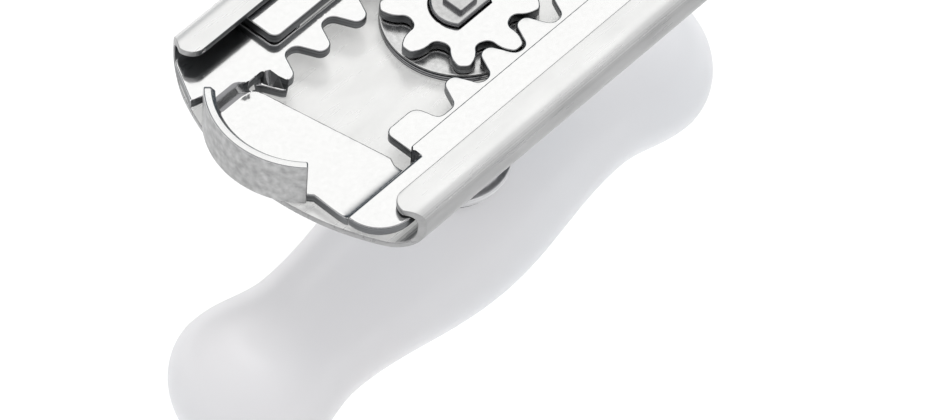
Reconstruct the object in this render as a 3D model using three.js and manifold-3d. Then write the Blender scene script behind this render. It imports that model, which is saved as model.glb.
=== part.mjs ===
// Hand jar opener, jaws up, resting on the flat of its knob.
// Units are millimetres, +Z is up, the origin is under the pinion axis on the rest plane.
// +X runs along the channel, and the head is symmetric by a half turn about Z.
import * as THREE from "three";
import { mergeVertices } from "three/addons/utils/BufferGeometryUtils.js";
import Module from "manifold-3d";

const wasm = await Module();
wasm.setup();

// ---------------------------------------------------------------- driving dimensions

// rack and pinion
const MODULE = 2.25;
const PINION_TEETH = 8;
const PRESSURE = THREE.MathUtils.degToRad(25);
const ADDENDUM = 1.6;
const DEDENDUM = 1.95;
const BACKLASH = 0.45; // along the pitch line
const CREST_ROUND = 1.25; // rounding of a rack tooth's tip
const ROOT_FILLET = 1.35;
const PINION_CREST_ROUND = 0.8;
const PINION_ROOT_FILLET = 1.2;

// sheet stock and running gaps
const PLATE = 1.6; // jaw plate, pinion and thrust disc
const SHEET = 1.0; // channel
const SLIP = 0.3; // between two stacked sliding layers
const SIDE_GAP = 0.9; // beside the arms, in the channel
const RACK_GAP = 0.4; // between a rack's back and the other jaw's step
const FIT = 0.15; // radial clearance of a fixed piece on the shaft
const RUNNING = 0.3; // radial clearance of a bearing on the shaft

// channel
const CHANNEL_WIDTH = 44.6;
const CHANNEL_END_RADIUS = 38.5;
const FLANGE_WIDTH = 5.1;
const FLOOR_BEND = 4.5;
const FLANGE_BEND = 2.2;
const FLANGE_CORNER = 2.4;

// jaws
const RACK_RIM = 1.65; // rack behind its tooth roots
const RACK_RELIEF = 1.3; // first tooth space to the rack's step
const STEP_LENGTH = 4.8; // of the rack's step, along the jaw
const STEP_RUN = 1.7; // of a step, across the jaw
const STEP_LAP = 0.4;
const STEP_FILLET = 0.5; // in the corners beside the rack's step and block
const STEP_INSET = 0.15; // foot of the rack's step inside the tooth roots
const JAW_MARGIN = 1.6; // rack's step to the jaw's end
const BASE_LENGTH = 11.0; // base plate, along its plain-arm end
const BASE_SKEW = 3.1; // its other end is shorter by this much
const BASE_KICK = 0.6; // small shoulder in its inner edge
const RACK_BLOCK = 6.5; // plain block at the rack's free end
const BLOCK_RELIEF = 1.2;
const RACK_TAIL = 19.0; // the rack is wide from here back to its jaw
const ARM_LENGTH = 58.3;
const ARM_OVERHANG = 2.0; // arms pass the base plate's end by this much
const ARM_NOSE = 5.5; // rounding of the plain arm's outer corner
const ARM_TIP = 1.2; // rounding of an arm's free end
const ARM_LAP = 0.1; // the plain arm's inner edge covers the rack's back edge
const TAB_INSET = 0.6;
const TAB_SLANT = 3.8; // the tab's outer corner stands back by this much
const LIP_RADIUS = 13.5;
const LIP_REACH = 4.5; // lip beyond the base plate's end
const LIP_OFFSET = 2.7; // centre of the lip, off the channel's centre line
const LIP_SPAN = THREE.MathUtils.degToRad(90);
const LIP_TURN = THREE.MathUtils.degToRad(178);
const LIP_RISE = 4.0; // above the pinion face

// neck
const NECK_LENGTH = 27.5;
const NECK_TOP_RADIUS = 7.4;
const NECK_RIM_RADIUS = 8.2;
const NECK_WALL = 1.2;
const NECK_FLANGE = 3.6; // width of the flange under the channel
const NECK_FLANGE_HEIGHT = 1.2;
const COLLAR_LIP = 0.3;
const COLLAR_HEIGHT = 1.6;

// shaft and bearings
const SHAFT_RADIUS = 3.5;
const HEAD_STEP = 0.5; // head over shaft, in radius
const HEAD_RISE = 0.7; // above the pinion face
const FLAT_CUT = 0.9; // depth of the D flat in the shaft
const TENON = 3.4;
const TENON_RISE = 0.8;
const THREAD_STEP = 1.1; // shaft over thread, in radius
const BUSH_WALL = 1.5;
const BUSH_LENGTH = 6.0;
const BUSH_INSET = 0.4;
const SLIP_WASHER = 0.5;

// knob
const KNOB_LENGTH = 98;
const KNOB_MIDDLE = 12.6; // radii
const KNOB_WAIST = 9.7;
const KNOB_LOBE = 11.5;
const KNOB_END = 10.0; // widest part of a lobe to the knob's end
const KNOB_FLARE = 12.0; // waist to the widest part of a lobe
const KNOB_REST_CUT = 1.1; // depth of the flat it rests on
const SEAT_CUT = 0.2; // depth of the flat under the neck
const KNOB_WALL = 2.4;
const COVER_HEIGHT = 3.6;
const SEAM = 0.3; // between the cover and the shell
const HUB_WALL = 2.5;
const HUB_RISE = 2.2; // hub's lower face above the knob's axis
const HUB_CAP = 1.0; // plastic over the hub
const NUT_RADIUS = 4.6;
const NUT_HEIGHT = 3.2;
const WASHER_RADIUS = 5.2;
const WASHER_HEIGHT = 1.0;
const STACK_GAP = 0.1; // between hub, washer and nut
const SCREW_X = 20;
const SCREW_RADIUS = 1.4;
const SCREW_HEAD = 2.6;
const SCREW_HEAD_HEIGHT = 1.5;
const SCREW_SUNK = 0.6; // screw head above the rest plane
const SCREW_LENGTH = 9.0;
const SCREW_SLOT = 0.7;
const SCREW_BOSS_WALL = 2.2;
const SCREW_FIT = 0.3;

// ---------------------------------------------------------------- derived places

const PITCH_RADIUS = (MODULE * PINION_TEETH) / 2;
const TOOTH_PITCH = Math.PI * MODULE;
const TIP_RADIUS = PITCH_RADIUS + ADDENDUM;
const ROOT_RADIUS = PITCH_RADIUS - DEDENDUM;
const HEAD_RADIUS = SHAFT_RADIUS + HEAD_STEP;
const FLAT_Y = FLAT_CUT - SHAFT_RADIUS;
const THREAD_RADIUS = SHAFT_RADIUS - THREAD_STEP;
const BORE_RADIUS = SHAFT_RADIUS + RUNNING;

// levels, from the rest plane up
const KNOB_AXIS = KNOB_LOBE - KNOB_REST_CUT;
const KNOB_SEAT = KNOB_AXIS + KNOB_MIDDLE - SEAT_CUT;
const NECK_BOTTOM = KNOB_SEAT + SLIP_WASHER + SLIP;
const CHANNEL_BOTTOM = NECK_BOTTOM + NECK_LENGTH;
const FLOOR = CHANNEL_BOTTOM + SHEET;
const LEVEL_1 = FLOOR + SLIP; // base plates and thrust disc
const LEVEL_2 = LEVEL_1 + PLATE + SLIP; // racks and pinion
const LEVEL_3 = LEVEL_2 + PLATE + SLIP; // plain arms
const FLANGE = LEVEL_3 + PLATE + SLIP; // underside of the flanges
const PINION_FACE = LEVEL_2 + PLATE;
const HUB_BOTTOM = KNOB_AXIS + HUB_RISE;
const HUB_TOP = KNOB_SEAT - HUB_CAP;
const WASHER_TOP = HUB_BOTTOM - STACK_GAP;
const NUT_TOP = WASHER_TOP - WASHER_HEIGHT - STACK_GAP;

// across the channel
const FLANGE_EDGE = CHANNEL_WIDTH / 2 - FLANGE_WIDTH;
const ARM_OUTER_Y = CHANNEL_WIDTH / 2 - SHEET - SIDE_GAP;
const RACK_TIP_Y = PITCH_RADIUS - ADDENDUM;
const RACK_ROOT_Y = PITCH_RADIUS + DEDENDUM;
const RACK_BACK_Y = RACK_ROOT_Y + RACK_RIM;
const RACK_STEP_Y = RACK_ROOT_Y - STEP_INSET; // foot of the step up to the rack
const ARM_STEP_Y = RACK_BACK_Y + RACK_GAP; // foot of the step up to the plain arm
const TAB_INNER_Y = ARM_STEP_Y + TAB_INSET;

// along the channel, for the near jaw, which points to -X
const RACK_TEETH_X = [-3.5, -2.5, -1.5, -0.5, 0.5, 1.5].map((n) => n * TOOTH_PITCH);
const RACK_STEP_X = -4 * TOOTH_PITCH - RACK_RELIEF;
const STEP_END_X = RACK_STEP_X - STEP_LENGTH;
const JAW_END_X = STEP_END_X - JAW_MARGIN;
const BASE_EDGE_X = JAW_END_X + BASE_LENGTH;
const BLOCK_X = 2.5 * TOOTH_PITCH - BLOCK_RELIEF;
const LIP_CENTRE_X = JAW_END_X - LIP_REACH + LIP_RADIUS;

// along the knob
const KNOB_LOBE_X = KNOB_LENGTH / 2 - KNOB_END;
const KNOB_WAIST_X = KNOB_LOBE_X - KNOB_FLARE;

// ---------------------------------------------------------------- solids

const CUT = 1; // how far a cutting tool passes the face it cuts
const FAR = 200;

function toManifold(geometry) {
  const bare = geometry.clone();
  bare.deleteAttribute("normal");
  bare.deleteAttribute("uv");
  const merged = mergeVertices(bare, 1e-4);
  return new wasm.Manifold(
    new wasm.Mesh({
      numProp: 3,
      vertProperties: Float32Array.from(merged.attributes.position.array),
      triVerts: Uint32Array.from(merged.index.array),
    }),
  );
}

function toGeometry(solid) {
  const mesh = solid.getMesh();
  const geometry = new THREE.BufferGeometry();
  const positions = new THREE.BufferAttribute(Float32Array.from(mesh.vertProperties), 3);
  geometry.setAttribute("position", positions);
  geometry.setIndex(new THREE.BufferAttribute(Uint32Array.from(mesh.triVerts), 1));
  geometry.computeVertexNormals();
  return geometry;
}

function union(...solids) {
  return solids.reduce((sum, solid) => sum.add(solid));
}

function cut(solid, ...tools) {
  return tools.reduce((rest, tool) => rest.subtract(tool), solid);
}

// A plan outline extruded up from z.
function slab(outline, z, height) {
  const shape = new THREE.Shape(outline);
  const geometry = new THREE.ExtrudeGeometry(shape, { depth: height, bevelEnabled: false });
  geometry.translate(0, 0, z);
  return toManifold(geometry);
}

// A section in Y and Z extruded along X.
function prism(section, x0, x1) {
  const shape = new THREE.Shape(section);
  const geometry = new THREE.ExtrudeGeometry(shape, { depth: x1 - x0, bevelEnabled: false });
  geometry.rotateY(Math.PI / 2);
  geometry.rotateX(Math.PI / 2);
  geometry.translate(x0, 0, 0);
  return toManifold(geometry);
}

function block(x0, x1, y0, y1, z0, z1) {
  const geometry = new THREE.BoxGeometry(x1 - x0, y1 - y0, z1 - z0);
  geometry.translate((x0 + x1) / 2, (y0 + y1) / 2, (z0 + z1) / 2);
  return toManifold(geometry);
}

function rod(radius, z0, z1, segments = 40, topRadius = radius) {
  const geometry = new THREE.CylinderGeometry(topRadius, radius, z1 - z0, segments);
  geometry.rotateX(Math.PI / 2);
  geometry.translate(0, 0, (z0 + z1) / 2);
  return toManifold(geometry);
}

function ring(outer, inner, z0, z1, segments = 40) {
  return cut(rod(outer, z0, z1, segments), rod(inner, z0 - CUT, z1 + CUT, segments));
}

function point(x, y) {
  return new THREE.Vector2(x, y);
}

function arc(cx, cy, radius, from, to, steps) {
  return Array.from({ length: steps + 1 }, (_, i) => {
    const angle = from + ((to - from) * i) / steps;
    return point(cx + radius * Math.cos(angle), cy + radius * Math.sin(angle));
  });
}

// A closed outline from corners [x, y, radius], where a radius rounds its corner.
function rounded(corners, steps = 4) {
  return corners.flatMap(([x, y, radius = 0], i) => {
    const corner = point(x, y);
    if (radius === 0) {
      return [corner];
    }
    const before = corners.at(i - 1);
    const after = corners[(i + 1) % corners.length];
    const toBefore = point(before[0], before[1]).sub(corner).normalize();
    const toAfter = point(after[0], after[1]).sub(corner).normalize();
    const half = Math.acos(toBefore.dot(toAfter)) / 2;
    const middle = toBefore.clone().add(toAfter);
    const centre = middle.setLength(radius / Math.sin(half)).add(corner);
    const start = toBefore.multiplyScalar(radius / Math.tan(half)).add(corner).sub(centre);
    const side = Math.sign(start.cross(toAfter));
    const from = start.angle();
    return arc(centre.x, centre.y, radius, from, from + side * (Math.PI - 2 * half), steps);
  });
}

function halfTurn(solid) {
  return solid.rotate([0, 0, 180]);
}

// ---------------------------------------------------------------- channel

// The C section: up one wall, back along the inside, and its mirror image.
function channelSection() {
  const wall = CHANNEL_WIDTH / 2;
  const top = FLANGE + SHEET;
  const quarter = Math.PI / 2;
  const floorBend = [wall - FLOOR_BEND, CHANNEL_BOTTOM + FLOOR_BEND];
  const flangeBend = [wall - FLANGE_BEND, top - FLANGE_BEND];
  const half = [
    ...arc(...floorBend, FLOOR_BEND, -quarter, 0, 8),
    ...arc(...flangeBend, FLANGE_BEND, 0, quarter, 6),
    point(FLANGE_EDGE, top),
    point(FLANGE_EDGE, FLANGE),
    ...arc(...flangeBend, FLANGE_BEND - SHEET, quarter, 0, 6),
    ...arc(...floorBend, FLOOR_BEND - SHEET, 0, -quarter, 8),
  ];
  const mirrored = half.map((p) => point(-p.x, p.y)).reverse();
  return [...half, ...mirrored];
}

// The waste outside one rounded flange corner, at the -X end of the -Y flange.
function cornerWaste() {
  const reach = Math.sqrt(CHANNEL_END_RADIUS ** 2 - (FLANGE_EDGE + FLANGE_CORNER) ** 2);
  const cx = FLANGE_CORNER - reach;
  const cy = -FLANGE_EDGE - FLANGE_CORNER;
  const outside = 3 * FLANGE_CORNER;
  const outline = [
    ...arc(cx, cy, FLANGE_CORNER, Math.PI, Math.PI / 2, 8),
    point(cx, cy + outside),
    point(cx - outside, cy + outside),
    point(cx - outside, cy),
  ];
  return slab(outline, FLANGE - SLIP / 2, 2 * SHEET);
}

function channel() {
  const section = prism(channelSection(), -CHANNEL_END_RADIUS, CHANNEL_END_RADIUS);
  const ends = rod(CHANNEL_END_RADIUS, CHANNEL_BOTTOM - CUT, FLANGE + SHEET + CUT, 96);
  const bore = rod(BORE_RADIUS + BUSH_WALL, CHANNEL_BOTTOM - CUT, FLOOR + CUT);
  const waste = cornerWaste();
  const mirrored = waste.mirror([0, 1, 0]);
  return cut(section.intersect(ends), bore, waste, mirrored, halfTurn(waste), halfTurn(mirrored));
}

// ---------------------------------------------------------------- pinion

function involute(angle) {
  return Math.tan(angle) - angle;
}

// Half the angle that a tooth fills at a given radius.
function toothHalfAngle(radius) {
  const base = PITCH_RADIUS * Math.cos(PRESSURE);
  const atPitch = (TOOTH_PITCH / 2 - BACKLASH / 2) / (2 * PITCH_RADIUS);
  const local = radius > base ? Math.acos(base / radius) : 0;
  return atPitch + involute(PRESSURE) - involute(local);
}

// One side of a tooth as [radius, half angle, rounding], from its root to its crest.
function toothSide() {
  const height = TIP_RADIUS - ROOT_RADIUS;
  const flank = [0.35, 0.55, 0.72].map((share) => ROOT_RADIUS + height * share);
  return [
    [ROOT_RADIUS, 1.13 * toothHalfAngle(flank[0]), PINION_ROOT_FILLET],
    ...flank.map((radius) => [radius, toothHalfAngle(radius), 0]),
    [TIP_RADIUS, toothHalfAngle(TIP_RADIUS), PINION_CREST_ROUND],
  ];
}

function pinionOutline() {
  const corners = [];
  for (let tooth = 0; tooth < PINION_TEETH; tooth += 1) {
    const centre = (2 * Math.PI * tooth) / PINION_TEETH;
    const rising = toothSide().map(([radius, angle, round]) => [radius, centre - angle, round]);
    const falling = toothSide().map(([radius, angle, round]) => [radius, centre + angle, round]);
    for (const [radius, angle, round] of [...rising, ...falling.reverse()]) {
      corners.push([radius * Math.cos(angle), radius * Math.sin(angle), round]);
    }
  }
  return rounded(corners, 3);
}

// ---------------------------------------------------------------- jaws

// One tooth of the rack at y > 0, which points to the pinion axis.
function rackTooth(centre) {
  const atPitch = (TOOTH_PITCH / 2 - BACKLASH / 2) / 2;
  const tipHalf = atPitch - ADDENDUM * Math.tan(PRESSURE);
  const rootHalf = atPitch + DEDENDUM * Math.tan(PRESSURE);
  return [
    [centre - rootHalf, RACK_ROOT_Y, ROOT_FILLET],
    [centre - tipHalf, RACK_TIP_Y, CREST_ROUND],
    [centre + tipHalf, RACK_TIP_Y, CREST_ROUND],
    [centre + rootHalf, RACK_ROOT_Y, ROOT_FILLET],
  ];
}

function rackArm() {
  const tabEnd = JAW_END_X - ARM_OVERHANG / 2;
  const outline = rounded(
    [
      [tabEnd, TAB_INNER_Y],
      [STEP_END_X, TAB_INNER_Y],
      [STEP_END_X, RACK_STEP_Y + STEP_RUN],
      [RACK_STEP_X, RACK_STEP_Y + STEP_RUN],
      [RACK_STEP_X, RACK_ROOT_Y, STEP_FILLET],
      ...RACK_TEETH_X.flatMap(rackTooth),
      [BLOCK_X, RACK_ROOT_Y, STEP_FILLET],
      [BLOCK_X, RACK_TIP_Y, ARM_TIP],
      [BLOCK_X + RACK_BLOCK, RACK_TIP_Y, ARM_TIP],
      [BLOCK_X + RACK_BLOCK, RACK_BACK_Y],
      [-RACK_TAIL, RACK_BACK_Y, ARM_TIP],
      [-RACK_TAIL, ARM_OUTER_Y],
      [tabEnd + TAB_SLANT, ARM_OUTER_Y, ARM_TIP],
    ],
    3,
  );
  return slab(outline, LEVEL_2, PLATE);
}

function plainArm() {
  const nose = JAW_END_X - ARM_OVERHANG;
  const tip = nose + ARM_LENGTH + ARM_OVERHANG;
  const innerY = -ARM_STEP_Y - STEP_RUN;
  const noseRound = Math.min(ARM_NOSE, ARM_OUTER_Y + innerY);
  const outline = rounded([
    [nose, innerY],
    [nose, -ARM_OUTER_Y, noseRound],
    [tip, -ARM_OUTER_Y, ARM_TIP],
    [tip, ARM_LAP - RACK_BACK_Y, ARM_TIP],
    [BASE_EDGE_X + STEP_RUN, ARM_LAP - RACK_BACK_Y],
    [BASE_EDGE_X, innerY],
  ]);
  return slab(outline, LEVEL_3, PLATE);
}

function lipArc(radius) {
  const from = LIP_TURN - LIP_SPAN / 2;
  return arc(LIP_CENTRE_X, LIP_OFFSET, radius, from, from + LIP_SPAN, 16);
}

function basePlate() {
  const edge = rounded([
    [JAW_END_X, -ARM_STEP_Y],
    [BASE_EDGE_X, -ARM_STEP_Y],
    [BASE_EDGE_X, -ARM_STEP_Y + 3 * BASE_KICK, BASE_KICK],
    [BASE_EDGE_X + BASE_KICK, -ARM_STEP_Y + 5 * BASE_KICK, BASE_KICK],
    [BASE_EDGE_X - BASE_SKEW, RACK_STEP_Y],
    [STEP_END_X, RACK_STEP_Y],
  ]);
  return slab([...lipArc(LIP_RADIUS), point(JAW_END_X, -LIP_RADIUS / 2), ...edge], LEVEL_1, PLATE);
}

// A sloped step of plate thickness that rises outwards from y, on the side +1 or -1.
function step(x0, x1, y, side, fromLevel, toLevel) {
  const upper = [
    point(side * (y - STEP_LAP), fromLevel + PLATE),
    point(side * y, fromLevel + PLATE),
    point(side * (y + STEP_RUN), toLevel + PLATE),
    point(side * (y + STEP_RUN + STEP_LAP), toLevel + PLATE),
  ];
  const lower = upper.map((p) => point(p.x, p.y - PLATE));
  return prism([...lower, ...upper.reverse()], x0, x1);
}

function jaw() {
  const lipOutline = [...lipArc(LIP_RADIUS), ...lipArc(LIP_RADIUS - PLATE).reverse()];
  const lip = slab(lipOutline, LEVEL_1, PINION_FACE + LIP_RISE - LEVEL_1);
  const rackStep = step(STEP_END_X, RACK_STEP_X, RACK_STEP_Y, 1, LEVEL_1, LEVEL_2);
  const armStep = step(JAW_END_X, BASE_EDGE_X, ARM_STEP_Y, -1, LEVEL_1, LEVEL_3);
  return union(basePlate(), lip, rackStep, rackArm(), armStep, plainArm());
}

// ---------------------------------------------------------------- shaft, neck and bushes

// A rod with a D flat whose face is at y.
function flattedRod(radius, y, z0, z1) {
  return cut(rod(radius, z0, z1), block(-FAR, FAR, -FAR, y, z0 - CUT, z1 + CUT));
}

function driveShaft() {
  const headTop = PINION_FACE + HEAD_RISE;
  const half = TENON / 2;
  return union(
    rod(THREAD_RADIUS, NUT_TOP - NUT_HEIGHT - WASHER_HEIGHT, HUB_BOTTOM + SLIP, 24),
    flattedRod(SHAFT_RADIUS, FLAT_Y, HUB_BOTTOM, HUB_TOP + SLIP),
    rod(SHAFT_RADIUS, HUB_TOP, LEVEL_2),
    flattedRod(HEAD_RADIUS, FLAT_Y, LEVEL_2 - SLIP / 2, headTop),
    block(-half, half, -half, half, headTop - SLIP, headTop + TENON_RISE),
  );
}

function pinion() {
  const hole = flattedRod(HEAD_RADIUS + FIT, FLAT_Y - FIT, LEVEL_2 - CUT, PINION_FACE + CUT);
  return cut(slab(pinionOutline(), LEVEL_2, PLATE), hole);
}

// A tapered tube with a flange that meets the channel; its foot stands in the collar.
function neck() {
  const bottom = NECK_BOTTOM + COLLAR_HEIGHT;
  const flangeBottom = CHANNEL_BOTTOM - NECK_FLANGE_HEIGHT;
  const flange = rod(NECK_TOP_RADIUS + NECK_FLANGE, flangeBottom, CHANNEL_BOTTOM);
  const barrel = rod(NECK_RIM_RADIUS, bottom, flangeBottom + STEP_LAP, 40, NECK_TOP_RADIUS);
  const foot = NECK_RIM_RADIUS - NECK_WALL;
  const top = NECK_TOP_RADIUS - NECK_WALL;
  return cut(union(flange, barrel), rod(foot, bottom - CUT, CHANNEL_BOTTOM + CUT, 40, top));
}

function collar() {
  const outer = NECK_RIM_RADIUS + COLLAR_LIP;
  return ring(outer, NECK_RIM_RADIUS - NECK_WALL, NECK_BOTTOM, NECK_BOTTOM + COLLAR_HEIGHT);
}

// A bearing that fills the space between the shaft and a bore.
function bush(boreRadius, z0, length) {
  return ring(boreRadius - FIT, BORE_RADIUS, z0, z0 + length);
}

// ---------------------------------------------------------------- knob

// Radius of the knob at a distance x from its middle.
function knobRadius(x) {
  const s = Math.min(Math.abs(x), KNOB_LENGTH / 2);
  const ease = (t) => (1 - Math.cos(Math.PI * t)) / 2;
  if (s < KNOB_WAIST_X) {
    return KNOB_MIDDLE + (KNOB_WAIST - KNOB_MIDDLE) * ease(s / KNOB_WAIST_X);
  }
  if (s < KNOB_LOBE_X) {
    return KNOB_WAIST + (KNOB_LOBE - KNOB_WAIST) * ease((s - KNOB_WAIST_X) / KNOB_FLARE);
  }
  const t = (s - KNOB_LOBE_X) / KNOB_END;
  return KNOB_LOBE * Math.sqrt(Math.max(0, 1 - t * t));
}

// The bone-shaped body of revolution about the knob's axis, drawn in by an inset.
function knobBody(inset, stations, segments) {
  const half = KNOB_LENGTH / 2 - inset;
  const profile = Array.from({ length: stations + 1 }, (_, i) => {
    const share = -Math.cos((Math.PI * i) / stations);
    const radius = knobRadius((share * KNOB_LENGTH) / 2) - inset;
    const onAxis = i === 0 || i === stations;
    return point(onAxis ? 0 : Math.max(radius, SEAM), half * share);
  });
  const geometry = new THREE.LatheGeometry(profile, segments);
  geometry.rotateZ(-Math.PI / 2);
  geometry.rotateX(Math.PI / segments);
  geometry.translate(0, 0, KNOB_AXIS);
  return toManifold(geometry);
}

// The part of the outer body between two heights.
function knobSlice(z0, z1) {
  return knobBody(0, 34, 32).intersect(block(-FAR, FAR, -FAR, FAR, z0, z1));
}

function atScrew(side, solid) {
  return solid.translate([side * SCREW_X, 0, 0]);
}

function knobShell() {
  const bottom = COVER_HEIGHT + SEAM;
  const hubRadius = SHAFT_RADIUS + HUB_WALL;
  const postTop = KNOB_AXIS + knobRadius(SCREW_X) - KNOB_WALL;
  const postRadius = SCREW_RADIUS + SCREW_BOSS_WALL;
  let solid = union(
    cut(knobSlice(bottom, KNOB_SEAT), knobBody(KNOB_WALL, 24, 20)),
    rod(Math.max(NECK_RIM_RADIUS, hubRadius + KNOB_WALL), HUB_BOTTOM, KNOB_SEAT),
  );
  for (const side of [-1, 1]) {
    const post = rod(postRadius, bottom, postTop + SLIP, 24);
    const hole = rod(SCREW_RADIUS + FIT, 0, SCREW_SUNK + SCREW_LENGTH + SLIP, 16);
    solid = cut(solid.add(atScrew(side, post)), atScrew(side, hole));
  }
  const pocket = rod(hubRadius + FIT, HUB_BOTTOM - CUT, HUB_TOP + FIT, 32);
  return cut(solid, pocket, rod(BORE_RADIUS, HUB_BOTTOM, KNOB_SEAT + CUT, 32));
}

function knobCover() {
  const sinkTop = SCREW_SUNK + SCREW_HEAD_HEIGHT;
  let solid = knobSlice(0, COVER_HEIGHT);
  for (const side of [-1, 1]) {
    const shank = rod(SCREW_RADIUS + SCREW_FIT, -CUT, COVER_HEIGHT + CUT, 24);
    const sink = rod(SCREW_HEAD + SCREW_FIT, -CUT, sinkTop, 24);
    solid = cut(solid, atScrew(side, shank), atScrew(side, sink));
  }
  return solid;
}

function coverScrew(side) {
  const headTop = SCREW_SUNK + SCREW_HEAD_HEIGHT;
  const halfSlot = SCREW_SLOT / 2;
  const body = union(
    rod(SCREW_HEAD, SCREW_SUNK, headTop, 24),
    rod(SCREW_RADIUS, headTop - FIT, SCREW_SUNK + SCREW_LENGTH, 16),
  );
  const slot = block(-FAR, FAR, -halfSlot, halfSlot, 0, SCREW_SUNK + SCREW_SLOT);
  return atScrew(side, cut(body, slot));
}

function knobHub() {
  const bore = flattedRod(SHAFT_RADIUS + FIT, FLAT_Y - FIT, HUB_BOTTOM - CUT, HUB_TOP + CUT);
  return cut(rod(SHAFT_RADIUS + HUB_WALL, HUB_BOTTOM, HUB_TOP, 32), bore);
}

function hubNut() {
  const bottom = NUT_TOP - NUT_HEIGHT;
  const hexagon = rod(NUT_RADIUS, bottom, NUT_TOP, 6);
  return cut(hexagon, rod(THREAD_RADIUS + FIT, bottom - CUT, NUT_TOP + CUT, 24));
}

// ---------------------------------------------------------------- assembly

const parts = new THREE.Group();

const STEEL = { color: 0xd6d8da, roughness: 0.25, metalness: 1 };
const DARK_STEEL = { color: 0x8f9396, roughness: 0.35, metalness: 1 };
const WHITE_PLASTIC = { color: 0xf2f2f4, roughness: 0.3, metalness: 0 };
const BLACK_PLASTIC = { color: 0x2b2c2e, roughness: 0.5, metalness: 0 };

function add(name, solid, look) {
  const mesh = new THREE.Mesh(toGeometry(solid), new THREE.MeshStandardMaterial(look));
  mesh.name = name;
  parts.add(mesh);
}

// head
const topBore = NECK_TOP_RADIUS - NECK_WALL;
const rimBore = NECK_RIM_RADIUS - NECK_WALL - BUSH_INSET;
const upperBushBottom = CHANNEL_BOTTOM - BUSH_INSET - BUSH_LENGTH;
add("channel_housing", channel(), STEEL);
add("neck_tube", neck(), STEEL);
add("neck_collar", collar(), STEEL);
add("floor_bush", bush(BORE_RADIUS + BUSH_WALL, CHANNEL_BOTTOM, SHEET), BLACK_PLASTIC);
add("upper_bush", bush(topBore, upperBushBottom, BUSH_LENGTH), BLACK_PLASTIC);
add("lower_bush", bush(rimBore, NECK_BOTTOM + BUSH_INSET, BUSH_LENGTH), BLACK_PLASTIC);

// jaws
add("near_jaw", jaw(), STEEL);
add("far_jaw", halfTurn(jaw()), STEEL);

// drive
const discBore = SHAFT_RADIUS + FIT;
add("pinion", pinion(), STEEL);
add("thrust_disc", ring(TIP_RADIUS, discBore, LEVEL_1, LEVEL_1 + PLATE, 56), DARK_STEEL);
add("drive_shaft", driveShaft(), DARK_STEEL);
const washerRadius = NECK_RIM_RADIUS - BUSH_INSET;
add("slip_washer", ring(washerRadius, BORE_RADIUS, KNOB_SEAT, KNOB_SEAT + SLIP_WASHER), BLACK_PLASTIC);

// knob
const threadHole = THREAD_RADIUS + FIT;
add("knob_shell", knobShell(), WHITE_PLASTIC);
add("knob_cover", knobCover(), WHITE_PLASTIC);
add("knob_hub", knobHub(), DARK_STEEL);
add("hub_washer", ring(WASHER_RADIUS, threadHole, WASHER_TOP - WASHER_HEIGHT, WASHER_TOP, 32), STEEL);
add("hub_nut", hubNut(), STEEL);
add("cover_screw_near", coverScrew(-1), STEEL);
add("cover_screw_far", coverScrew(1), STEEL);

export default parts;
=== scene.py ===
"""Looks for the hand jar opener: jaws up, lying on its knob, in a plain white studio.

Shapes are drawn in millimetres in the row frame and scaled once, in new_piece().
"""

import math

import bmesh
import bpy
from mathutils import Matrix, Vector
from mathutils.geometry import delaunay_2d_cdt
from mathutils.kdtree import KDTree


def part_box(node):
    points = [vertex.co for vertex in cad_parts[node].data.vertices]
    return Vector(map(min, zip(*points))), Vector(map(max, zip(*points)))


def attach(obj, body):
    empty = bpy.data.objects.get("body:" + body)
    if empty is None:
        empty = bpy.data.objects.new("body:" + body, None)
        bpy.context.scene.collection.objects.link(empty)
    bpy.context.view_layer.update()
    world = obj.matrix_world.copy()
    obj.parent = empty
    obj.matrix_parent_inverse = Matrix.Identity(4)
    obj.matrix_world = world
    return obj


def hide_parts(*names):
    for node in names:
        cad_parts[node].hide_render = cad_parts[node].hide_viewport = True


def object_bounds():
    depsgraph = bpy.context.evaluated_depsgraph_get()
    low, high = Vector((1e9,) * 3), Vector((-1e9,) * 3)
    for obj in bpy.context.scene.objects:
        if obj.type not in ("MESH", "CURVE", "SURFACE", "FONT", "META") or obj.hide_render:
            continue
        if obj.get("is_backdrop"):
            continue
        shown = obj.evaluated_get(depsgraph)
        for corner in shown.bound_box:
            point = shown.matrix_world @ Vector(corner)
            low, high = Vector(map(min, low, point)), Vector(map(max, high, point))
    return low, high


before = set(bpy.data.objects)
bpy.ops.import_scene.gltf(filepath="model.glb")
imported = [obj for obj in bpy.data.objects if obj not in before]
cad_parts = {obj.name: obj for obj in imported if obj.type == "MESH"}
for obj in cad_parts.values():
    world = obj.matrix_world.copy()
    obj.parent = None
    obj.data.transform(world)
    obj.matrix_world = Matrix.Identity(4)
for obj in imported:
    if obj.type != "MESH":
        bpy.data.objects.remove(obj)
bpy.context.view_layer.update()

MM = 0.001
ON_AXIS = 1e-6

# ---------------------------------------------------------------- camera

AZIMUTH = math.radians(-51.474)
ELEVATION = math.radians(50.943)
ROLL = math.radians(4.206)
DISTANCE = 1233.23 * MM
FOCAL_PIXELS = 9388.34
FRAME_PIXELS = 930
AIM_RIGHT = 1.032 * MM
AIM_UP = -26.75 * MM
AIM_X = -0.5 * MM


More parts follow.
